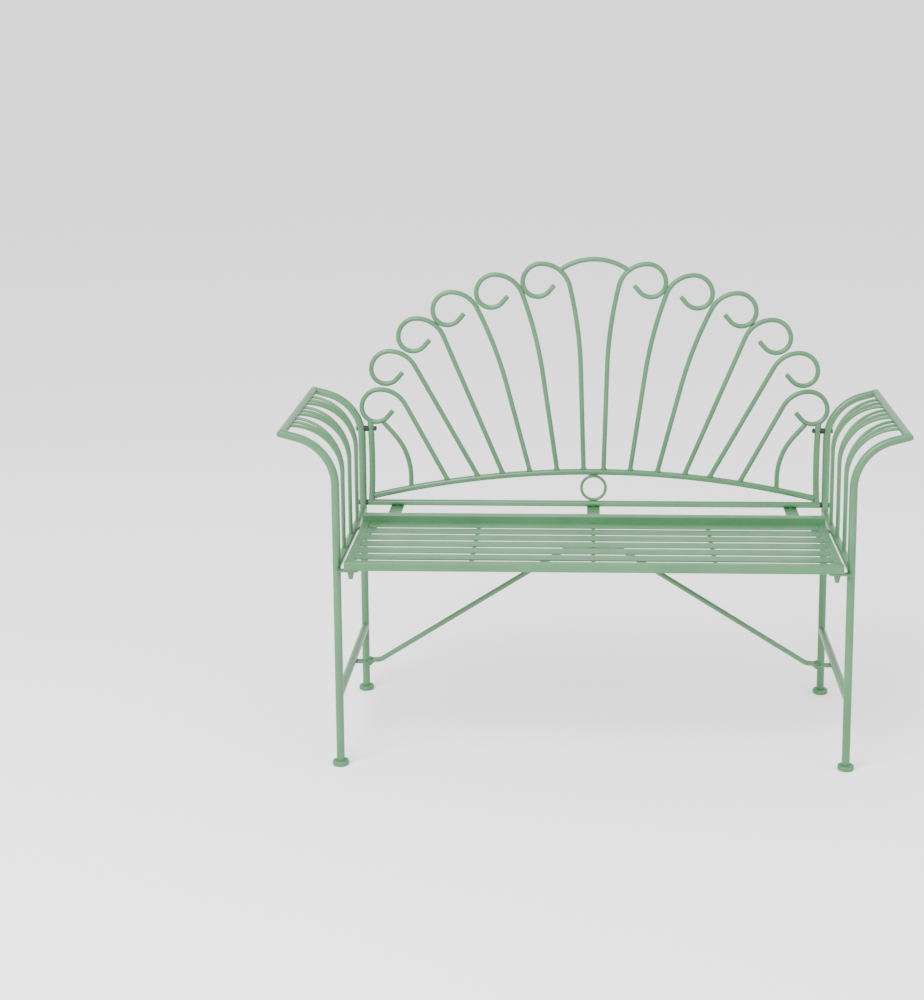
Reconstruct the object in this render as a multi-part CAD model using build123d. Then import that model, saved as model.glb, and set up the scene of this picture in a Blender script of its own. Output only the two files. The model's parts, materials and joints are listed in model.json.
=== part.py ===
"""Welded steel garden bench with a fan-shaped back of scrolled rods, slatted seat and flared arms.

Frame: +X to the right as seen from the front, +Y towards the back, +Z up.
The origin is on the floor under the middle of the bench's box. All sizes are in millimetres.
"""

import os
from math import acos, asin, atan2, cos, degrees, hypot, radians, sin, sqrt

from build123d import *

# ------------------------------------------------------------------ driving dimensions

# tube and rod stock
FRAME_OD = 17.0          # round tube of the legs, arm rails, side rails and stretchers
FRAME_WALL = 1.5
BACK_OD = 14.0           # round tube of the back's posts and bottom rail, and its solid arch
BACK_WALL = 1.2
FAN_OD = 11.0            # rod of the fan, its crown arch and the cross brace
THIN_OD = 7.0            # rod of the arm sheaves and the centre ring

# side frames
LEG_SPACING_X = 1050.0   # between the leg axes, left to right
LEG_SPACING_Y = 418.0    # between the leg axes, front to back
ARM_BEND_START_Z = 600.0
ARM_BEND_R = 103.0
ARM_TURN = 75.0          # degrees from upright at the end of the bend
ARM_STRAIGHT = 32.0      # from the bend to the arm rail's axis
SIDE_RAIL_Z = 428.5
STRETCHER_Z = 152.0
SHEAVES = 3              # sheaves of thin rods in each arm
SHEAF_MERGE_Z = 535.0    # below this height a sheaf's three rods run side by side
SHEAF_ROD_GAP = 0.4      # daylight between the rods of a sheaf where they run side by side
SHEAF_LEAN = 2.0         # how far an outer rod has moved out where the arm's bend begins

# feet
FOOT_OD = 34.0
FOOT_H = 10.0
FOOT_PLUG_L = 16.0
PLUG_CLEARANCE = 0.15

# seat
SEAT_FRONT_OVERHANG = 22.0   # seat's front face ahead of the front legs' axes
SEAT_DEPTH = 318.0
SEAT_SIDE_GAP = 8.5          # between the seat and a leg
SEAT_TOP_Z = 444.0
RAIL_W = 20.0                # front and rear rails, front to back
RAIL_H = 18.0
REAR_RAIL_RISE = 15.0        # top of the rear rail above the slats
SIDE_BAR_W = 18.0            # seat's side bars, left to right
SEAT_TUBE_WALL = 1.5
SEAT_CORNER_R = 3.0
BRACKET_LAP = 10.0           # brackets under the rear rail
SLATS = 6
SLAT_W = 34.0
SLAT_PITCH = 46.0
SLAT_T = 2.5
SLAT_CROWN = 1.0             # rise of a slat's middle over its edges
SLAT_FIRST_GAP = 12.0         # from the front rail to the first slat
CROSS_BAR_W = 8.0
CROSS_BAR_H = 10.0
CROSS_BAR_X = 250.0          # outer cross bars from the middle

# back
POST_BOW = 3.0               # how far the posts bow inwards at mid height
BOTTOM_RAIL_Z = 447.5
RAIL_PLUG_L = 20.0           # threaded plug in each end of the bottom rail
ARCH_END_SHORT = 1.4         # room for the post's bow at the arch's end
ARCH_TOP_Z = 522.0
ARCH_END_Z = 461.7
RING_R = 27.3

FAN_LAYOUT_HALF = 505.5      # half width that the fan below is laid out for
# fan rods, from the middle outwards: foot on the arch, then the crown of the scroll
FAN_FEET_X = (22.5, 82.0, 143.0, 204.0, 260.0, 329.0)
FAN_CROWNS = ((118, 998), (222, 973), (320, 933), (398, 873), (460, 798), (483, 710))
FAN_SWEEP = (12.0, 12.0, 12.0, 0.0, 0.0, 0.0)   # degrees of slow bend below the shoulder
SWEEP_R = 900.0
SHOULDER_R = 65.0
CROWN_R = 41.5
HEEL_R = 33.0
HEEL_LIFT = 49.0             # degrees that the scroll turns up past level at its end
SCROLL_TIP_L = 19.5
TIP_ROUND = 2.0
END_CURL_FOOT_X = 414.5
END_CURL_R = 150.0
END_CURL_STRAIGHT_TO_Z = 508.0
END_CURL_TURN = 41.5
END_CURL_TIP_L = 36.0        # runs up to the outermost scroll, and is coped to it
CROWN_ARCH_TOP_Z = 1008.5
CROWN_ARCH_R = 130.0
CROWN_ARCH_HALF = 86.0

# tabs, brackets and brace
TAB_T = 3.0
SEAT_TAB_REACH = 38.0        # inwards from the leg's inner side
SEAT_STUD_IN = 30.0          # inwards from the leg's axis
BRACKET_X = 446.0            # outer back brackets from the middle
BRACKET_W = 29.0
BRACE_FLAT_Z = 150.5
BRACE_TOP_Z = 410.5
BRACE_TOP_HALF = 50.0
BRACE_FOOT_IN = 60.0         # inwards from the leg's axis
BRACE_BEND_R = 30.0
BRACE_BOLT_IN = 37.0
BRACE_PAD_T = 5.0
BRACE_PAD_W = 17.0

# fasteners, all M6
BOLT_D = 6.0
HOLE_D = 6.6
HEAD_D = 11.5
HEAD_H = 3.4
NUT_AF = 10.0
NUT_H = 5.0
CAP_NUT_FLANGE_D = 16.0
CAP_NUT_H = 16.0
SPACER_OD = 13.0
SPACER_T = 4.0               # between a leg and the post beside it
SPACER_LAP = 3.0             # how far a spacer's saddles reach round the tubes
POST_BOLT_Z = 620.0
NUT_SHANK_CLEARANCE = 0.05
NUT_STAND_OFF = 0.4          # from a bowed post to the nut beside it

# ------------------------------------------------------------------ derived places

FOOT_R = FOOT_OD / 2
FRAME_R = FRAME_OD / 2
BACK_R = BACK_OD / 2
FAN_R = FAN_OD / 2
THIN_R = THIN_OD / 2
LEG_X = LEG_SPACING_X / 2
DEPTH = SEAT_FRONT_OVERHANG + LEG_SPACING_Y + FOOT_R
FRONT_Y = -DEPTH / 2 + SEAT_FRONT_OVERHANG      # front legs
BACK_Y = FRONT_Y + LEG_SPACING_Y                # rear legs and the whole back
MID_Y = (FRONT_Y + BACK_Y) / 2                  # cross brace
POST_X = LEG_X - FRAME_R - BACK_R - SPACER_T
FAN_WIDEN = POST_X / FAN_LAYOUT_HALF
SEAT_WIDTH = LEG_SPACING_X - FRAME_OD - 2 * SEAT_SIDE_GAP
SEAT_STUD_X = LEG_X - SEAT_STUD_IN
BRACE_FOOT_X = LEG_X - BRACE_FOOT_IN
BRACE_BOLT_X = LEG_X - BRACE_BOLT_IN
ARM_RAIL_X = LEG_X + ARM_BEND_R * (1 - cos(radians(ARM_TURN))) + ARM_STRAIGHT * sin(radians(ARM_TURN))
ARM_RAIL_Z = ARM_BEND_START_Z + ARM_BEND_R * sin(radians(ARM_TURN)) + ARM_STRAIGHT * cos(radians(ARM_TURN))
SEAT_FRONT_Y = FRONT_Y - SEAT_FRONT_OVERHANG
ARCH_RISE = ARCH_TOP_Z - ARCH_END_Z
ARCH_R = (POST_X**2 + ARCH_RISE**2) / (2 * ARCH_RISE)
SIDES = (("left", -1), ("right", 1))
MIRROR = Plane.YZ


def arch_z(x):
    """Height of the arch's axis at x."""
    return ARCH_TOP_Z - ARCH_R + sqrt(ARCH_R**2 - x**2)


def leg_x(z):
    """Distance of a leg's axis from the middle plane at height z."""
    if z <= ARM_BEND_START_Z:
        return LEG_X
    return LEG_X + ARM_BEND_R * (1 - cos(asin((z - ARM_BEND_START_Z) / ARM_BEND_R)))


# ------------------------------------------------------------------ making bent stock


def bent_path(start, lean, steps, y):
    """A planar run of lines and tangent arcs at depth y, heading up and leaning outwards.

    start is (x, z), lean the heading in degrees from upright, towards +X. A step is
    (length,) for a straight run or (radius, turn) for a bend, and a positive turn leans further.
    """
    x, z = start
    heading = radians(lean)
    edges = []
    for step in steps:
        if len(step) == 1:
            nx, nz = x + step[0] * sin(heading), z + step[0] * cos(heading)
            edges.append(Line((x, y, z), (nx, y, nz)))
        else:
            radius, turn = step[0], radians(step[1])
            sense = 1 if turn > 0 else -1
            cx, cz = x + sense * radius * cos(heading), z - sense * radius * sin(heading)

            def on_arc(angle, cx=cx, cz=cz, sense=sense, radius=radius):
                return (cx - sense * radius * cos(angle), y, cz + sense * radius * sin(angle))

            middle, end = on_arc(heading + turn / 2), on_arc(heading + turn)
            edges.append(ThreePointArc((x, y, z), middle, end))
            nx, nz = end[0], end[2]
            heading += turn
        x, z = nx, nz
    return Wire(edges)


def rod(path, diameter):
    """Solid rod along a path."""
    return sweep(Plane(path @ 0, z_dir=path % 0) * Circle(diameter / 2), path=path)


def tube(path, outside, wall):
    """Hollow tube along a path."""
    section = Circle(outside / 2) - Circle(outside / 2 - wall)
    return sweep(Plane(path @ 0, z_dir=path % 0) * section, path=path)


def bar_x(x0, x1, y, z, diameter):
    """Round bar along X."""
    bar = Cylinder(diameter / 2, abs(x1 - x0), rotation=(0, 90, 0))
    return Pos((x0 + x1) / 2, y, z) * bar


def bar_y(x, y0, y1, z, diameter):
    """Round bar along Y."""
    return Pos(x, (y0 + y1) / 2, z) * Cylinder(diameter / 2, abs(y1 - y0), rotation=(90, 0, 0))


def bar_z(x, y, z0, z1, diameter):
    """Round bar along Z."""
    return Pos(x, y, (z0 + z1) / 2) * Cylinder(diameter / 2, abs(z1 - z0))


def block(x0, x1, y0, y1, z0, z1):
    """Box between two corners."""
    return Pos((x0 + x1) / 2, (y0 + y1) / 2, (z0 + z1) / 2) * Box(abs(x1 - x0), abs(y1 - y0), abs(z1 - z0))


def on_side(shape, sign):
    """The right-hand shape, mirrored for the left."""
    return shape if sign > 0 else mirror(shape, about=MIRROR)


parts = {}


def add(name, *solids):
    """Keep one named node of one or more separate solids."""
    flat = [solid for shape in solids for solid in shape.solids()]
    parts[name] = flat[0] if len(flat) == 1 else Compound(children=flat)


# ------------------------------------------------------------------ side frames, right-hand side

ARM_STEPS = ((ARM_BEND_R, ARM_TURN), (ARM_STRAIGHT + FRAME_OD,))
ARM_END_DIR = Vector(sin(radians(ARM_TURN)), 0, cos(radians(ARM_TURN)))


def mitred(shape, corner, own_dir, other_dir):
    """Cut a tube at a corner, on the plane halfway to its neighbour; both directions leave the corner."""
    return split(shape, bisect_by=Plane(corner, z_dir=own_dir - other_dir), keep=Keep.TOP)


def leg(y, rail_dir):
    """Leg tube from the foot up, bent outwards into the arm and mitred to the arm rail."""
    path = bent_path((LEG_X, FOOT_H), 0, ((ARM_BEND_START_Z - FOOT_H,),) + ARM_STEPS, y)
    corner = Vector(ARM_RAIL_X, y, ARM_RAIL_Z)
    return mitred(tube(path, FRAME_OD, FRAME_WALL), corner, -ARM_END_DIR, Vector(0, rail_dir, 0))


def arm_rail():
    """Outer rail of the arm, mitred at both ends."""
    start = (ARM_RAIL_X, FRONT_Y - FRAME_OD, ARM_RAIL_Z)
    end = (ARM_RAIL_X, BACK_Y + FRAME_OD, ARM_RAIL_Z)
    path = Wire([Line(start, end)])
    rail = tube(path, FRAME_OD, FRAME_WALL)
    for y, rail_dir in ((FRONT_Y, 1), (BACK_Y, -1)):
        corner = Vector(ARM_RAIL_X, y, ARM_RAIL_Z)
        rail = mitred(rail, corner, Vector(0, rail_dir, 0), -ARM_END_DIR)
    return rail


def leg_envelopes():
    """The legs' straight parts, filled, for coping what is welded between them."""
    return [bar_z(LEG_X, y, 0, ARM_BEND_START_Z, FRAME_OD) for y in (FRONT_Y, BACK_Y)]


def between_legs(z):
    """Tube from front leg to rear leg, coped to both."""
    path = Wire([Line((LEG_X, FRONT_Y, z), (LEG_X, BACK_Y, z))])
    bar = tube(path, FRAME_OD, FRAME_WALL)
    for envelope in leg_envelopes():
        bar -= envelope
    return bar.solids().sort_by(SortBy.VOLUME)[-1]


def sheaf(y):
    """Three thin rods that rise side by side and spread to even spacing at the arm rail."""
    side_rail = bar_y(LEG_X, FRONT_Y, BACK_Y, SIDE_RAIL_Z, FRAME_OD)
    rail = bar_y(ARM_RAIL_X, FRONT_Y, BACK_Y, ARM_RAIL_Z, FRAME_OD)
    spread = LEG_SPACING_Y / (SHEAVES + 1) / SHEAVES
    rods = []
    for place in (-1, 0, 1):
        low_y = y + place * (THIN_OD + SHEAF_ROD_GAP)
        foot = (LEG_X, low_y, SIDE_RAIL_Z)
        merge = (LEG_X, low_y, SHEAF_MERGE_Z)
        bend = (LEG_X, low_y + place * SHEAF_LEAN, ARM_BEND_START_Z)
        end = (ARM_RAIL_X, y + place * spread, ARM_RAIL_Z)
        if place == 0:
            edges = [Line(foot, bend), TangentArc(bend, end, tangent=(0, 0, 1))]
        else:
            first = TangentArc(merge, bend, tangent=(0, 0, 1))
            edges = [Line(foot, merge), first, TangentArc(bend, end, tangent=first % 1)]
        thin = rod(Wire(edges), THIN_OD) - side_rail - rail
        rods.append(thin.solids().sort_by(SortBy.VOLUME)[-1])
    return rods


def foot(y):
    """Round glide with a plug that sits in the leg's bore."""
    pad = Pos(LEG_X, y, FOOT_H / 2) * Cylinder(FOOT_R, FOOT_H)
    pad = fillet(pad.edges().filter_by(GeomType.CIRCLE), FOOT_H * 0.3)
    plug_d = FRAME_OD - 2 * FRAME_WALL - 2 * PLUG_CLEARANCE
    return pad + bar_z(LEG_X, y, FOOT_H, FOOT_H + FOOT_PLUG_L, plug_d)


def post_bolt_hole(z):
    """Clearance hole along X through a leg and the post beside it."""
    return bar_x(POST_X - BACK_OD, leg_x(z) + FRAME_OD, BACK_Y, z, HOLE_D)


def seat_rail_y(which):
    """Middle of the seat's front or rear rail."""
    if which == "front":
        return SEAT_FRONT_Y + RAIL_W / 2
    return SEAT_FRONT_Y + SEAT_DEPTH - RAIL_W / 2


def seat_tab(which):
    """Flat tab under a corner of the seat, welded to the front leg or to the side rail."""
    y = seat_rail_y(which)
    z = SEAT_TOP_Z - RAIL_H
    half = RAIL_W / 2 - 1
    tab = block(LEG_X - FRAME_R - SEAT_TAB_REACH, LEG_X - 2, y - half, y + half, z - TAB_T, z)
    tab = fillet(tab.edges().filter_by(Axis.Z).group_by(Axis.X)[0], 4)
    tab -= bar_z(SEAT_STUD_X, y, z - 2 * TAB_T, z + TAB_T, HOLE_D)
    for envelope in leg_envelopes() + [bar_y(LEG_X, FRONT_Y, BACK_Y, SIDE_RAIL_Z, FRAME_OD)]:
        tab -= envelope
    return tab.solids().sort_by(SortBy.VOLUME)[-1]


rear_leg = leg(BACK_Y, -1)
for bolt_z in (BOTTOM_RAIL_Z, POST_BOLT_Z):
    rear_leg -= post_bolt_hole(bolt_z)
side_pieces = {
    "front_leg": [leg(FRONT_Y, 1)],
    "rear_leg": [rear_leg],
    "arm_rail": [arm_rail()],
    "side_rail": [between_legs(SIDE_RAIL_Z)],
    "stretcher": [between_legs(STRETCHER_Z)],
    "front_foot": [foot(FRONT_Y)],
    "rear_foot": [foot(BACK_Y)],
}
for number, name in enumerate(("front", "middle", "rear"), start=1):
    side_pieces[f"arm_sheaf_{name}"] = sheaf(FRONT_Y + number * LEG_SPACING_Y / (SHEAVES + 1))
for side, sign in SIDES:
    for name, pieces in side_pieces.items():
        add(f"{side}_{name}", *[on_side(piece, sign) for piece in pieces])

seat_tabs = [seat_tab(which) for which in ("front", "rear")]
add("seat_tabs", *[on_side(tab, sign) for _, sign in SIDES for tab in seat_tabs])

# ------------------------------------------------------------------ back


def post_path():
    """A post's line, bowed slightly inwards between the bottom rail and the outermost scroll."""
    top_z = scroll_bottom_z_at(POST_X)
    middle = (POST_X - POST_BOW, BACK_Y, (BOTTOM_RAIL_Z + top_z) / 2)
    return Wire([ThreePointArc((POST_X, BACK_Y, BOTTOM_RAIL_Z), middle, (POST_X, BACK_Y, top_z))])


def scroll_bottom_z_at(x):
    """Height of the outermost scroll's heel at x."""
    crown_x, crown_z = FAN_CROWNS[-1]
    centre_x = crown_x * FAN_WIDEN + CROWN_R - HEEL_R
    centre_z = crown_z - CROWN_R
    return centre_z - sqrt(HEEL_R**2 - (x - centre_x) ** 2)


def fan_path(foot_x, crown, sweep_turn):
    """A fan rod's line: straight shaft, slow sweep, shoulder, crown, heel and short straight tip.

    The shaft's lean and length follow from where the foot and the crown are.
    """
    foot_z = arch_z(foot_x)
    across = crown[0] - foot_x
    up = crown[1] - foot_z - SHOULDER_R
    turn = radians(sweep_turn)
    reach = SWEEP_R - (SWEEP_R - SHOULDER_R) * cos(turn)
    lean = acos(reach / hypot(across, up)) - atan2(up, across)
    straight = across * sin(lean) + up * cos(lean) - (SWEEP_R - SHOULDER_R) * sin(turn)
    steps = [(straight,)]
    if sweep_turn:
        steps.append((SWEEP_R, sweep_turn))
    steps += [
        (SHOULDER_R, 90 - degrees(lean) - sweep_turn),
        (CROWN_R, 90),
        (HEEL_R, 90 + HEEL_LIFT),
        (SCROLL_TIP_L,),
    ]
    return bent_path((foot_x, foot_z), degrees(lean), steps, BACK_Y)


def round_tip(shape, tip):
    """Break the edge of a rod's free end."""
    edge = shape.edges().filter_by(GeomType.CIRCLE).sort_by_distance(tip)[0]
    return fillet(edge, TIP_ROUND)


arch_ends = [(sign * POST_X, BACK_Y, ARCH_END_Z) for _, sign in SIDES]
arch_path = Wire([ThreePointArc(arch_ends[0], (0, BACK_Y, ARCH_TOP_Z), arch_ends[1])])
arch_envelope = rod(arch_path, BACK_OD)
rail_end = POST_X + BACK_R
rail_path = Wire([Line((-rail_end, BACK_Y, BOTTOM_RAIL_Z), (rail_end, BACK_Y, BOTTOM_RAIL_Z))])
bottom_rail = tube(rail_path, BACK_OD, BACK_WALL)
bottom_rail_envelope = bar_x(-rail_end, rail_end, BACK_Y, BOTTOM_RAIL_Z, BACK_OD)
back_post = tube(post_path(), BACK_OD, BACK_WALL) - bottom_rail_envelope
back_post = back_post.solids().sort_by(SortBy.VOLUME)[-1]
arch_half = POST_X - BACK_R - ARCH_END_SHORT
arch = arch_envelope & block(-arch_half, arch_half, BACK_Y - BACK_OD, BACK_Y + BACK_OD, 0, 2 * ARCH_TOP_Z)

for _, sign in SIDES:
    plug = bar_x(sign * (rail_end - RAIL_PLUG_L), sign * rail_end, BACK_Y, BOTTOM_RAIL_Z, BACK_OD - BACK_WALL)
    thread = bar_x(sign * (rail_end - 2 * RAIL_PLUG_L), sign * (rail_end + 1), BACK_Y, BOTTOM_RAIL_Z,
                   BOLT_D + 2 * NUT_SHANK_CLEARANCE)
    bottom_rail = bottom_rail + plug - thread
add("back_bottom_rail", bottom_rail)
add("back_arch", arch)
fan_rods = []
for foot_x, crown, sweep_turn in zip(FAN_FEET_X, FAN_CROWNS, FAN_SWEEP):
    path = fan_path(foot_x * FAN_WIDEN, (crown[0] * FAN_WIDEN, crown[1]), sweep_turn)
    fan_rod = round_tip(rod(path, FAN_OD), path @ 1) - arch_envelope
    fan_rods.append(fan_rod.solids().sort_by(SortBy.VOLUME)[-1])
back_post = back_post - fan_rods[-1] - post_bolt_hole(POST_BOLT_Z)
back_post = back_post.solids().sort_by(SortBy.VOLUME)[-1]
for number in range(len(fan_rods)):
    fitted = fan_rods[number]
    if number + 1 < len(fan_rods):
        fitted = (fitted - fan_rods[number + 1]).solids().sort_by(SortBy.VOLUME)[-1]
    for side, sign in SIDES:
        add(f"{side}_fan_rod_{number + 1}", on_side(fitted, sign))
for side, sign in SIDES:
    add(f"{side}_back_post", on_side(back_post, sign))

curl_foot_x = END_CURL_FOOT_X * FAN_WIDEN
curl_steps = ((END_CURL_STRAIGHT_TO_Z - arch_z(curl_foot_x),), (END_CURL_R, END_CURL_TURN), (END_CURL_TIP_L,))
end_curl = rod(bent_path((curl_foot_x, arch_z(curl_foot_x)), 0, curl_steps, BACK_Y), FAN_OD) - arch_envelope
end_curl = (end_curl - fan_rods[-1]).solids().sort_by(SortBy.VOLUME)[-1]
for side, sign in SIDES:
    add(f"{side}_end_curl", on_side(end_curl, sign))

crown_arch_end_z = CROWN_ARCH_TOP_Z - CROWN_ARCH_R + sqrt(CROWN_ARCH_R**2 - CROWN_ARCH_HALF**2)
crown_ends = [(sign * CROWN_ARCH_HALF, BACK_Y, crown_arch_end_z) for _, sign in SIDES]
crown_arch = rod(Wire([ThreePointArc(crown_ends[0], (0, BACK_Y, CROWN_ARCH_TOP_Z), crown_ends[1])]), FAN_OD)
for _, sign in SIDES:
    crown_arch -= on_side(fan_rods[0], sign)
add("crown_arch", crown_arch.solids().sort_by(SortBy.VOLUME)[-1])
ring_z = (BOTTOM_RAIL_Z + ARCH_TOP_Z) / 2
ring = Pos(0, BACK_Y, ring_z) * Torus(RING_R, THIN_R, rotation=(90, 0, 0))
add("centre_ring", ring - arch_envelope - bottom_rail_envelope)

# ------------------------------------------------------------------ seat

SLAT_UNDER_Z = SEAT_TOP_Z - SLAT_CROWN - SLAT_T
SEAT_BACK_Y = SEAT_FRONT_Y + SEAT_DEPTH
REAR_RAIL_TOP_Z = SEAT_TOP_Z + REAR_RAIL_RISE


def box_tube(plane, width, height, length):
    """Rectangular tube with rounded corners, extruded from the middle of its section."""
    inner_r = SEAT_CORNER_R - SEAT_TUBE_WALL
    bore = RectangleRounded(width - 2 * SEAT_TUBE_WALL, height - 2 * SEAT_TUBE_WALL, inner_r)
    return extrude(plane * (RectangleRounded(width, height, SEAT_CORNER_R) - bore), length)


def seat_rail(y, z, height):
    """Rail across the seat, along X."""
    plane = Plane((-SEAT_WIDTH / 2, y, z), x_dir=(0, 1, 0), z_dir=(1, 0, 0))
    return box_tube(plane, RAIL_W, height, SEAT_WIDTH)


def seat_side_bar():
    """Side bar from the front rail back, notched under the rear rail."""
    start = (SEAT_WIDTH / 2 - SIDE_BAR_W / 2, SEAT_FRONT_Y + RAIL_W, SEAT_TOP_Z - RAIL_H / 2)
    bar = box_tube(Plane(start, x_dir=(1, 0, 0), z_dir=(0, 1, 0)), SIDE_BAR_W, RAIL_H, SEAT_DEPTH - RAIL_W)
    notch = block(0, SEAT_WIDTH, SEAT_BACK_Y - RAIL_W, SEAT_BACK_Y + 1, SLAT_UNDER_Z, SEAT_TOP_Z + 1)
    return bar - notch - bar_z(SEAT_STUD_X, seat_rail_y("rear"), start[2] - RAIL_H, start[2], BOLT_D)


def slat(number):
    """Crowned flat slat between the side bars."""
    half = SEAT_WIDTH / 2 - SIDE_BAR_W
    front = SEAT_FRONT_Y + RAIL_W + SLAT_FIRST_GAP + number * SLAT_PITCH
    top = [(0, -SLAT_CROWN), (SLAT_W / 2, 0), (SLAT_W, -SLAT_CROWN)]
    with BuildSketch(Plane((-half, front, SEAT_TOP_Z), x_dir=(0, 1, 0), z_dir=(1, 0, 0))) as section:
        with BuildLine():
            upper = ThreePointArc(*top)
            lower = ThreePointArc(*[(u, v - SLAT_T) for u, v in top])
            Line(upper @ 0, lower @ 0)
            Line(upper @ 1, lower @ 1)
        make_face()
    return extrude(section.sketch, 2 * half)


def cross_bar(x):
    """Bar under the slats from the front rail to under the rear rail."""
    half = CROSS_BAR_W / 2
    front, rear = SEAT_FRONT_Y + RAIL_W, SEAT_BACK_Y - BRACKET_LAP
    return block(x - half, x + half, front, rear, SLAT_UNDER_Z - CROSS_BAR_H, SLAT_UNDER_Z)


front_rail = seat_rail(SEAT_FRONT_Y + RAIL_W / 2, SEAT_TOP_Z - RAIL_H / 2, RAIL_H)
for _, sign in SIDES:
    hole_x, hole_y = sign * SEAT_STUD_X, seat_rail_y("front")
    front_rail -= bar_z(hole_x, hole_y, SEAT_TOP_Z - 2 * RAIL_H, SEAT_TOP_Z - RAIL_H / 2, BOLT_D)
rear_rail_mid_z = (REAR_RAIL_TOP_Z + SLAT_UNDER_Z) / 2
rear_rail = seat_rail(SEAT_BACK_Y - RAIL_W / 2, rear_rail_mid_z, REAR_RAIL_TOP_Z - SLAT_UNDER_Z)
add("seat_front_rail", front_rail)
add("seat_rear_rail", rear_rail)
for side, sign in SIDES:
    add(f"seat_{side}_bar", on_side(seat_side_bar(), sign))
for number in range(SLATS):
    add(f"seat_slat_{number + 1}", slat(number))
add("seat_cross_bars", *[cross_bar(x) for x in (-CROSS_BAR_X, 0, CROSS_BAR_X)])


def back_bracket(x):
    """Tab from the seat's rear rail to under the back's bottom rail, with a bolt hole."""
    z = BOTTOM_RAIL_Z - BACK_R
    front = SEAT_BACK_Y - BRACKET_LAP
    plate = block(x - BRACKET_W / 2, x + BRACKET_W / 2, front, BACK_Y + BACK_R + 2, z - TAB_T, z)
    plate = fillet(plate.edges().filter_by(Axis.Z).group_by(Axis.Y)[-1], 5)
    return plate - bar_z(x, BACK_Y, z - 2 * TAB_T, z + TAB_T, HOLE_D)


add("back_brackets", *[back_bracket(x) for x in (-BRACKET_X, 0, BRACKET_X)])

# ------------------------------------------------------------------ cross brace


def brace():
    """Bent rod from stretcher to stretcher, up to the seat's middle, with flattened, drilled ends."""
    rise = [(BRACE_TOP_HALF, BRACE_TOP_Z), (BRACE_FOOT_X, BRACE_FLAT_Z), (BRACE_FOOT_X + 8, BRACE_FLAT_Z)]
    outline = [(-x, z) for x, z in reversed(rise)] + rise
    points = [(x, MID_Y, z) for x, z in outline]
    path = Wire(FilletPolyline(*points, radius=BRACE_BEND_R * 0.8).edges())
    bent = rod(path, FAN_OD)
    for _, sign in SIDES:
        inner, outer = sign * (BRACE_FOOT_X + 4), sign * (BRACE_BOLT_X + BRACE_PAD_W / 2)
        half_w, half_t = BRACE_PAD_W / 2, BRACE_PAD_T / 2
        pad = Pos((inner + outer) / 2, MID_Y, BRACE_FLAT_Z) * Box(abs(outer - inner), 2 * half_w, 2 * half_t)
        ends = pad.edges().filter_by(Axis.Z).group_by(Axis.X)[-1 if sign > 0 else 0]
        pad = fillet(ends, half_w - 0.6)
        low_z, high_z = BRACE_FLAT_Z - BRACE_PAD_T, BRACE_FLAT_Z + BRACE_PAD_T
        hole = bar_z(sign * BRACE_BOLT_X, MID_Y, low_z, high_z, HOLE_D)
        bent = bent + pad - hole
    return bent


def brace_tab():
    """Tab welded to the stretcher, under the brace's end."""
    z = BRACE_FLAT_Z - BRACE_PAD_T / 2
    half_w = BRACE_PAD_W / 2 + 2
    tab = block(BRACE_BOLT_X - half_w, LEG_X - FRAME_R + 2.5, MID_Y - half_w, MID_Y + half_w, z - TAB_T, z)
    tab = fillet(tab.edges().filter_by(Axis.Z).group_by(Axis.X)[0], half_w - 1)
    return tab - bar_z(BRACE_BOLT_X, MID_Y, z - 2 * TAB_T, z + TAB_T, HOLE_D) - bar_y(
        LEG_X, FRONT_Y, BACK_Y, STRETCHER_Z, FRAME_OD)


add("cross_brace", brace())
add("brace_tabs", *[on_side(brace_tab(), sign) for _, sign in SIDES])

# ------------------------------------------------------------------ fasteners


def hex_nut(bore=BOLT_D + 2 * NUT_SHANK_CLEARANCE):
    """Plain hexagon nut, standing on z = 0."""
    body = extrude(RegularPolygon(NUT_AF / 2, 6, major_radius=False), NUT_H)
    return body - Pos(0, 0, NUT_H / 2) * Cylinder(bore / 2, 2 * NUT_H)


def button_bolt(length):
    """Domed-head bolt, head on top of z = 0 and shank below."""
    head = Pos(0, 0, HEAD_H / 2) * Cylinder(HEAD_D / 2, HEAD_H)
    head = fillet(head.edges().filter_by(GeomType.CIRCLE).group_by(Axis.Z)[-1], HEAD_H * 0.7)
    head -= Pos(0, 0, HEAD_H) * extrude(RegularPolygon(2.0, 6, major_radius=False), -HEAD_H * 0.6)
    return head + Pos(0, 0, -length / 2) * Cylinder(BOLT_D / 2, length)


def cap_nut():
    """Flanged, tapered cap nut hanging from z = 0."""
    flange = Pos(0, 0, -1) * Cylinder(CAP_NUT_FLANGE_D / 2, 2)
    taper = Pos(0, 0, -2 - (CAP_NUT_H - 2) / 2) * Cone(4.6, 6.9, CAP_NUT_H - 2)
    taper = fillet(taper.edges().group_by(Axis.Z)[0], 1.5)
    bore = Pos(0, 0, -5) * Cylinder(BOLT_D / 2 + NUT_SHANK_CLEARANCE, 10)
    return flange + taper - bore


studs, cap_nuts = [], []
for which in ("front", "rear"):
    y = seat_rail_y(which)
    rail_bottom = SEAT_TOP_Z - RAIL_H
    for _, sign in SIDES:
        x = sign * SEAT_STUD_X
        studs.append(bar_z(x, y, rail_bottom - TAB_T - 9, rail_bottom + SEAT_TUBE_WALL, BOLT_D))
        cap_nuts.append(Pos(x, y, rail_bottom - TAB_T) * cap_nut())
add("seat_fasteners", *studs, *cap_nuts)

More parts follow.
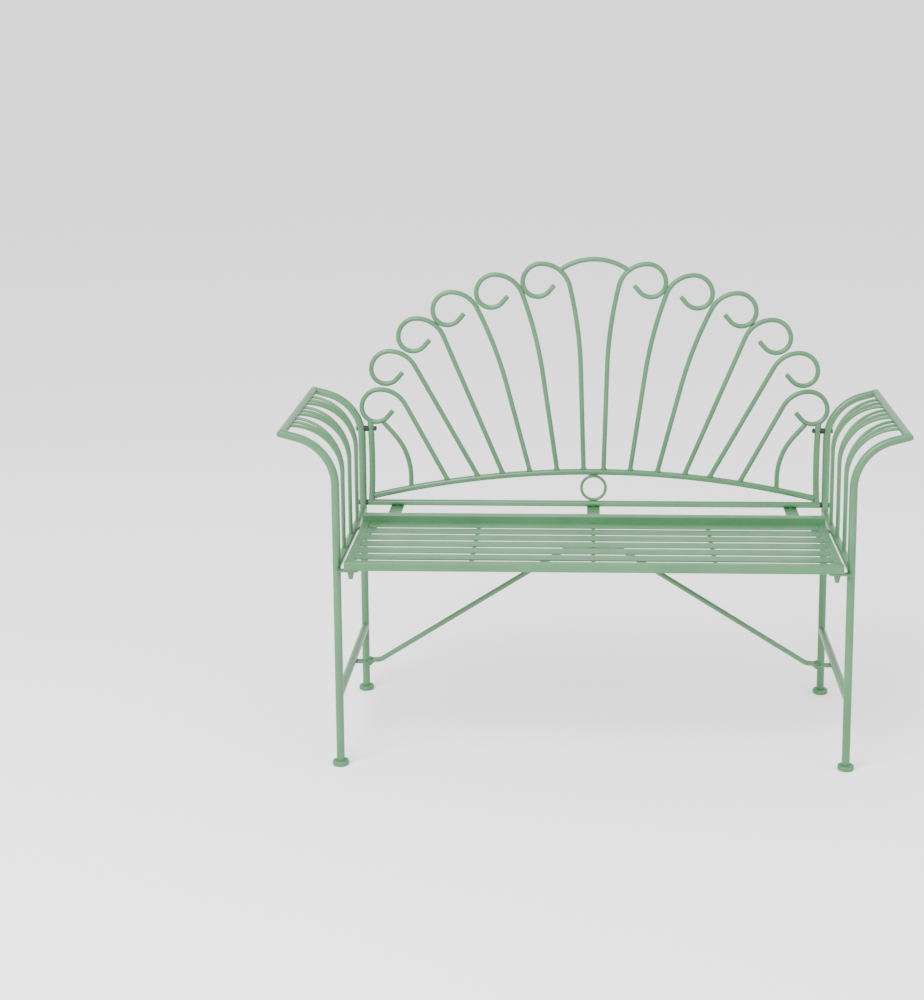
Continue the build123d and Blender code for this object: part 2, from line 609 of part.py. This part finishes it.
leg_steps = ((ARM_BEND_START_Z - FOOT_H,),) + ARM_STEPS
rear_leg_filled = rod(bent_path((LEG_X, FOOT_H), 0, leg_steps, BACK_Y), FRAME_OD)
post_filled = rod(post_path(), BACK_OD)
post_bolts, post_nuts, spacers = [], [], []
span = (POST_BOLT_Z - BOTTOM_RAIL_Z) / (scroll_bottom_z_at(POST_X) - BOTTOM_RAIL_Z)
post_x = POST_X - POST_BOW * 4 * span * (1 - span)
nut_x = post_x - BACK_R - NUT_STAND_OFF
for bolt_z, inner_x in ((BOTTOM_RAIL_Z, rail_end - RAIL_PLUG_L), (POST_BOLT_Z, nut_x - NUT_H - 1)):
    outside = leg_x(bolt_z) + FRAME_R
    bolt = Pos(outside, BACK_Y, bolt_z) * Rot(0, 90, 0) * button_bolt(outside - inner_x) - rear_leg
    sleeve_inner = POST_X + BACK_R - POST_BOW - SPACER_LAP
    sleeve_outer = LEG_X - FRAME_R + SPACER_LAP
    sleeve = bar_x(sleeve_inner, sleeve_outer, BACK_Y, bolt_z, SPACER_OD)
    sleeve -= bar_x(POST_X - 2 * BACK_R, LEG_X + FRAME_OD, BACK_Y, bolt_z, HOLE_D)
    sleeve = sleeve - rear_leg_filled - post_filled - bottom_rail_envelope
    sleeve = sleeve.solids().sort_by(Axis.X)[-1]
    for _, sign in SIDES:
        post_bolts.append(on_side(bolt.solids().sort_by(SortBy.VOLUME)[-1], sign))
        spacers.append(on_side(sleeve, sign))
for _, sign in SIDES:
    post_nuts.append(on_side(Pos(nut_x, BACK_Y, POST_BOLT_Z) * Rot(0, -90, 0) * hex_nut(), sign))
add("post_bolts", *post_bolts)
add("post_nuts", *post_nuts)
add("post_spacers", *spacers)

brace_bolts, brace_nuts = [], []
for _, sign in SIDES:
    top = Pos(sign * BRACE_BOLT_X, MID_Y, BRACE_FLAT_Z + BRACE_PAD_T / 2)
    tab_bottom = BRACE_FLAT_Z - BRACE_PAD_T / 2 - TAB_T
    brace_bolts.append(top * button_bolt(BRACE_PAD_T + TAB_T + NUT_H + 2))
    brace_nuts.append(Pos(sign * BRACE_BOLT_X, MID_Y, tab_bottom - NUT_H) * hex_nut())
add("brace_fasteners", *brace_bolts, *brace_nuts)

# ------------------------------------------------------------------ write the nodes

os.makedirs("parts", exist_ok=True)
for name, shape in parts.items():
    export_step(shape, os.path.join("parts", name + ".step"))
print(len(parts), "nodes")
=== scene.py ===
# %% [markdown]
# # A powder-coated garden bench
# The bench is read as bent steel tube and rod, welded, bolted together and powder coated in one
# sage green. The CAD carries every tube, rod, slat and bolt, so this scene adds what welding and
# coating leave behind. It works in metres in the CAD's own frame: origin on the floor under the
# bench, +Z up, the front facing -Y.

# %% Load the frame
import json
import math
import bpy
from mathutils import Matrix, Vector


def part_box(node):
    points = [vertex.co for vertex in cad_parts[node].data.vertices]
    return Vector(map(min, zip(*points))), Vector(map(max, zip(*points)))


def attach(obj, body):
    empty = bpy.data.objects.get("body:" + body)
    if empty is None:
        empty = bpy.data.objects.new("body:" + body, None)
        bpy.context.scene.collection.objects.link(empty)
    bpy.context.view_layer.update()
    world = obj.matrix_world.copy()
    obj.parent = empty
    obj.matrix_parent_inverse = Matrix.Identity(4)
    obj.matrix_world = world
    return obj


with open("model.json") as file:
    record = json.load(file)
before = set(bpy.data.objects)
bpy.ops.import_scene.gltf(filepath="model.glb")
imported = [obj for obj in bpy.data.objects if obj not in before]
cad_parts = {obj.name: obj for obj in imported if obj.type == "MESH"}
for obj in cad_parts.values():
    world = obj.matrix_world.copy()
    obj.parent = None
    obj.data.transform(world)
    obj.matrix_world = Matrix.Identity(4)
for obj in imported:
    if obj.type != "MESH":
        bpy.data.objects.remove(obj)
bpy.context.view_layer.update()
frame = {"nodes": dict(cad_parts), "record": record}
nodes = frame["nodes"]

# %% [markdown]
# ## Materials
# Every colour is written as an sRGB hex and turned linear in one place, because shaders mix light
# linearly. One small function adds a node, sets its inputs and links it, so each material reads
# as a short recipe.

# %% Colour and node helpers
def linear(hex_colour):
    """An sRGB hex colour as linear RGBA."""
    channels = [int(hex_colour[i:i + 2], 16) / 255 for i in (1, 3, 5)]
    return [c / 12.92 if c <= 0.04045 else ((c + 0.055) / 1.055) ** 2.4 for c in channels] + [1.0]


def add_node(material, kind, settings=None, **inputs):
    """Adds a shader node. An input is a constant or another node's output socket.

    A space in an input's name is written _, and _6 means the input at index 6.
    """
    node = material.node_tree.nodes.new(kind)
    for name, value in (settings or {}).items():
        setattr(node, name, value)
    for name, value in inputs.items():
        key = int(name[1:]) if name[1:].isdigit() else name.replace("_", " ")
        socket = node.inputs[key]
        if isinstance(value, bpy.types.NodeSocket):
            material.node_tree.links.new(value, socket)
        else:
            socket.default_value = value
    return node


def start_material(name):
    """A named material with an empty node tree."""
    material = bpy.data.materials.new(name)
    material.use_nodes = True
    material.node_tree.nodes.clear()
    return material


MM_PER_M = 1000


def grain(material, size_mm, detail=2.0):
    """Noise over the object, with bumps about size_mm across."""
    place = add_node(material, "ShaderNodeTexCoord").outputs["Object"]
    noise = add_node(material, "ShaderNodeTexNoise", Vector=place, Scale=MM_PER_M / size_mm,
                     Detail=detail)
    return noise.outputs["Fac"]


print("helpers ready")

# %% [markdown]
# ### Powder coat
# Powder is sprayed on dry and baked, and it flows out into a satin film with a fine orange peel.
# Large soft noise shifts the green a little, as film thickness does, and the millimetre noise is
# the peel. The peel breaks the highlights along the tubes; without it they would look like plain
# plastic.

# %% Powder coat recipe
PATCH_MM = 90                  # across one patch of thicker or thinner film
SHEEN_MM = 14                  # across one duller or shinier spot
PEEL_DEPTH = 0.0001            # metres


def powder_coat(name, thin, thick, roughness, peel_mm):
    """Satin powder coat between two near colours, for thin and for thick film."""
    material = start_material(name)
    patches = grain(material, PATCH_MM, 3.0)
    spread = add_node(material, "ShaderNodeMapRange", Value=patches, From_Min=0.3, From_Max=0.7)
    colour = add_node(material, "ShaderNodeMix", {"data_type": "RGBA"}, _0=spread.outputs["Result"],
                      _6=linear(thin), _7=linear(thick))
    peel = grain(material, peel_mm)
    bump = add_node(material, "ShaderNodeBump", Height=peel, Strength=0.35, Distance=PEEL_DEPTH)
    satin = add_node(material, "ShaderNodeMapRange", Value=grain(material, SHEEN_MM),
                     To_Min=roughness - 0.05, To_Max=roughness + 0.06)
    surface = add_node(material, "ShaderNodeBsdfPrincipled", Base_Color=colour.outputs[2],
                       Roughness=satin.outputs["Result"], Normal=bump.outputs["Normal"],
                       Coat_Weight=0.12, Coat_Roughness=0.25)
    add_node(material, "ShaderNodeOutputMaterial", Surface=surface.outputs["BSDF"])
    return material


green = powder_coat("powder coated steel", "#3F7249", "#386842", 0.36, 2.5)
fastener_green = powder_coat("painted steel fasteners", "#3B6C45", "#34623D", 0.5, 1.2)
print("powder coats:", green.name, "and", fastener_green.name)

# %% [markdown]
# ### Moulded plastic and rubber
# The feet are taken to be moulded plastic, duller than the coat and only faintly mottled. The
# black spacers keep the back's posts off the legs, and their dark line separates the two tubes.

# %% Matte recipe
GRAIN_DEPTH = 0.00008          # metres


def moulded(name, colour, roughness, grain_mm):
    """Matte moulded material with a fine grain."""
    material = start_material(name)
    fine = grain(material, grain_mm, 4.0)
    bump = add_node(material, "ShaderNodeBump", Height=fine, Strength=0.3, Distance=GRAIN_DEPTH)
    sheen = add_node(material, "ShaderNodeMapRange", Value=fine,
                     To_Min=roughness - 0.06, To_Max=roughness + 0.06)
    surface = add_node(material, "ShaderNodeBsdfPrincipled", Base_Color=linear(colour),
                       Roughness=sheen.outputs["Result"], Normal=bump.outputs["Normal"])
    add_node(material, "ShaderNodeOutputMaterial", Surface=surface.outputs["BSDF"])
    return material


glide_green = moulded("moulded green glides", "#3E7047", 0.6, 0.8)
black = moulded("black rubber spacers", "#1B1D1C", 0.72, 0.6)
black_coat = powder_coat("black coated steel", "#232624", "#1C1F1D", 0.45, 1.2)
print("moulded materials:", glide_green.name, "and", black.name)

# %% [markdown]
# ### Who wears what
# The tubes, rods and slats are taken to be coated frame by frame after welding, and the bolts to
# be finished apart, so they are a little duller. The nuts and spacers at the back's posts are
# black. The record names each node's slot, so the materials follow it and no node is named here.

# %% Give each CAD node its material
by_slot = {"green_powder_coat": green, "green_fasteners": fastener_green,
           "green_glides": glide_green, "black_fasteners": black_coat, "black_rubber": black}
for part in frame["record"]["subparts"]:
    mesh = nodes[part["node"]].data
    mesh.materials.clear()
    mesh.materials.append(by_slot[part["material_slot"]])

# %% [markdown]
# ## Weld beads
# A rod of a welded bench ends in a small fillet weld, ground little and coated over. It could be
# a swept fillet or a ring. A thin ring around the rod is used, made uneven by a displacement,
# because it needs no cut in either part. Each size of bead is modelled once and copied. The beads
# soften the sharp lines where the CAD's rods meet, which is what the eye reads as welded.

# %% One bead
LUMP_SIZE = 0.006              # metres across one lump of a bead
LUMP_HEIGHT = 0.9              # of the bead's thickness
lumps = bpy.data.textures.new("weld lumps", "CLOUDS")
lumps.noise_scale = LUMP_SIZE


def bead_model(ring_radius, thickness):
    """An uneven ring at the origin, to be copied and then deleted."""
    bpy.ops.object.select_all(action="DESELECT")
    bpy.ops.mesh.primitive_torus_add(major_segments=36, minor_segments=10,
                                     major_radius=ring_radius, minor_radius=thickness)
    ring = bpy.context.object
    uneven = ring.modifiers.new("uneven", "DISPLACE")
    uneven.texture = lumps
    uneven.texture_coords = "LOCAL"
    uneven.strength = thickness * LUMP_HEIGHT
    bpy.ops.object.modifier_apply(modifier=uneven.name)
    bpy.ops.object.shade_smooth()
    return ring


def bead(model, place, tilt=(0, 0, 0)):
    """A copy of a bead with its own mesh, at place and tilted by Euler angles."""
    bpy.ops.object.select_all(action="DESELECT")
    model.select_set(True)
    bpy.context.view_layer.objects.active = model
    bpy.ops.object.duplicate(linked=False)
    ring = bpy.context.object
    ring.location = place
    ring.rotation_euler = tilt
    bpy.ops.object.transform_apply(location=True, rotation=True, scale=True)
    return ring


def join_beads(rings, models, name):
    """Joins rings into one piece that belongs to the bench, and deletes their models."""
    for model in models:
        bpy.data.objects.remove(model, do_unlink=True)
    bpy.ops.object.select_all(action="DESELECT")
    for ring in rings:
        ring.select_set(True)
    bpy.context.view_layer.objects.active = rings[0]
    bpy.ops.object.join()
    piece = bpy.context.object
    piece.name = name
    piece.data.materials.clear()
    piece.data.materials.append(green)
    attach(piece, "root")
    print(name, "has", len(piece.data.polygons), "faces from", len(rings), "beads")


# %% [markdown]
# The feet of the fan rods stand on the arch, so each bead sits at the rod's lowest point. Its
# place comes from the node's own lowest vertices, which keeps it right if the CAD changes. The
# arch's two ends get a bead each, tilted to the arch's own slope there.

# %% Beads under the fan rods and at the arch's ends
def foot_of(name, slice_m=0.0025):
    """Middle of a node's lowest few millimetres."""
    points = [v.co for v in nodes[name].data.vertices]
    level = min(p.z for p in points)
    near = [p for p in points if p.z - level < slice_m]
    return [sum(p[i] for p in near) / len(near) for i in range(3)]


FAN_BEAD = (0.0056, 0.0016)    # ring radius and thickness, in metres
ARCH_BEAD = (0.0066, 0.0016)
FAN_BEAD_LIFT = 0.002          # from a fan rod's lowest point up to its bead
ARCH_END_RISE = 0.0068         # from the arch's lowest point up to its axis at the end
ARCH_END_SLOPE = 14            # degrees
fan_model = bead_model(*FAN_BEAD)
arch_model = bead_model(*ARCH_BEAD)
fan_beads = []
for side in ("left", "right"):
    for number in range(1, 7):
        name = f"{side}_fan_rod_{number}"
        x, y, z = foot_of(name)
        fan_beads.append(bead(fan_model, (x, y, z + FAN_BEAD_LIFT)))
arch_low, arch_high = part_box("back_arch")
middle_y = (arch_low[1] + arch_high[1]) / 2
for sign, end_x in ((-1, arch_low[0]), (1, arch_high[0])):
    place = (end_x, middle_y, arch_low[2] + ARCH_END_RISE)
    tilt = (0, math.radians(90 + sign * ARCH_END_SLOPE), 0)
    fan_beads.append(bead(arch_model, place, tilt))
join_beads(fan_beads, [fan_model, arch_model], "fan_weld_beads")

# %% [markdown]
# The arm rods meet the side rail three by three, side by side. Their beads stand in a row along
# the rail's top, measured from the boxes of the rail and the sheaf, as three rods share one node.

# %% Beads at the arm rods
ARM_BEAD = (0.0036, 0.0012)    # ring radius and thickness, in metres
ROD_PITCH = 0.0074             # between neighbouring rods at the rail
RAIL_SINK = 0.0005             # how far a bead sits into the rail's top
arm_model = bead_model(*ARM_BEAD)
arm_beads = []
for side in ("left", "right"):
    rail_low, rail_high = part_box(f"{side}_side_rail")
    rail_x = (rail_low[0] + rail_high[0]) / 2
    for sheaf in ("front", "middle", "rear"):
        low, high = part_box(f"{side}_arm_sheaf_{sheaf}")
        middle_y = (low[1] + high[1]) / 2
        for step in (-1, 0, 1):
            place = (rail_x, middle_y + step * ROD_PITCH, rail_high[2] - RAIL_SINK)
            arm_beads.append(bead(arm_model, place))
join_beads(arm_beads, [arm_model], "arm_weld_beads")

# %% [markdown]
# ## Stage, light and camera
# A pale floor under one large soft light gives faint contact shadows below the feet. A weaker
# fill from the right keeps the far tubes readable, and the world lights the undersides.

# %% Floor and lights
FIBRE_MM = 3                   # across one fleck of the paper
bpy.ops.mesh.primitive_plane_add(size=40, location=(0, 8, 0))
floor = bpy.context.object
floor.name = "studio floor"
paper = start_material("pale studio paper")
fibres = grain(paper, FIBRE_MM)
paper_colour = add_node(paper, "ShaderNodeMix", {"data_type": "RGBA"}, _0=fibres,
                        _6=linear("#FFFFFF"), _7=linear("#FDFDFD"))
paper_surface = add_node(paper, "ShaderNodeBsdfPrincipled", Base_Color=paper_colour.outputs[2],
                         Roughness=0.9)
add_node(paper, "ShaderNodeOutputMaterial", Surface=paper_surface.outputs["BSDF"])
floor.data.materials.append(paper)


def soft_light(name, place, aim, size, watts):
    """Square area light at place, facing aim."""
    bpy.ops.object.light_add(type="AREA", location=place)
    light = bpy.context.object
    light.name = name
    light.data.size = size
    light.data.energy = watts
    toward = [a - p for a, p in zip(aim, place)]
    flat = math.hypot(toward[0], toward[1])
    heading = math.atan2(toward[1], toward[0])
    light.rotation_euler = (math.atan2(flat, -toward[2]), 0, heading - math.pi / 2)
    return light


soft_light("key", place=(-1.8, -2.6, 3.6), aim=(0, 0, 0.4), size=3.0, watts=330)
soft_light("fill", place=(3.0, -1.6, 2.2), aim=(0, 0, 0.5), size=2.5, watts=40)
world = bpy.data.worlds.new("soft white room")
bpy.context.scene.world = world
world.use_nodes = True
world.node_tree.nodes["Background"].inputs["Color"].default_value = linear("#FFFFFF")
world.node_tree.nodes["Background"].inputs["Strength"].default_value = 1.7
print("floor and two lights placed")

# %% [markdown]
# The camera is at a standing person's eye level, straight in front, and looks a little down. Part
# of the framing is lens shift instead of pitch, which keeps the legs more nearly upright.

# %% Camera
EYE = (0.0, -3.644, 1.539)     # metres
LOOK_DOWN = 9.5                # degrees
LOOK_LEFT = 1.4                # degrees
turn = (math.radians(90 - LOOK_DOWN), 0, math.radians(LOOK_LEFT))
bpy.ops.object.camera_add(location=EYE, rotation=turn)
camera = bpy.context.object
camera.data.lens = 63.0
camera.data.sensor_width = 36.0
camera.data.shift_x = -0.09
camera.data.shift_y = -0.19
bpy.context.scene.camera = camera
print("camera at", tuple(round(c, 3) for c in camera.location))
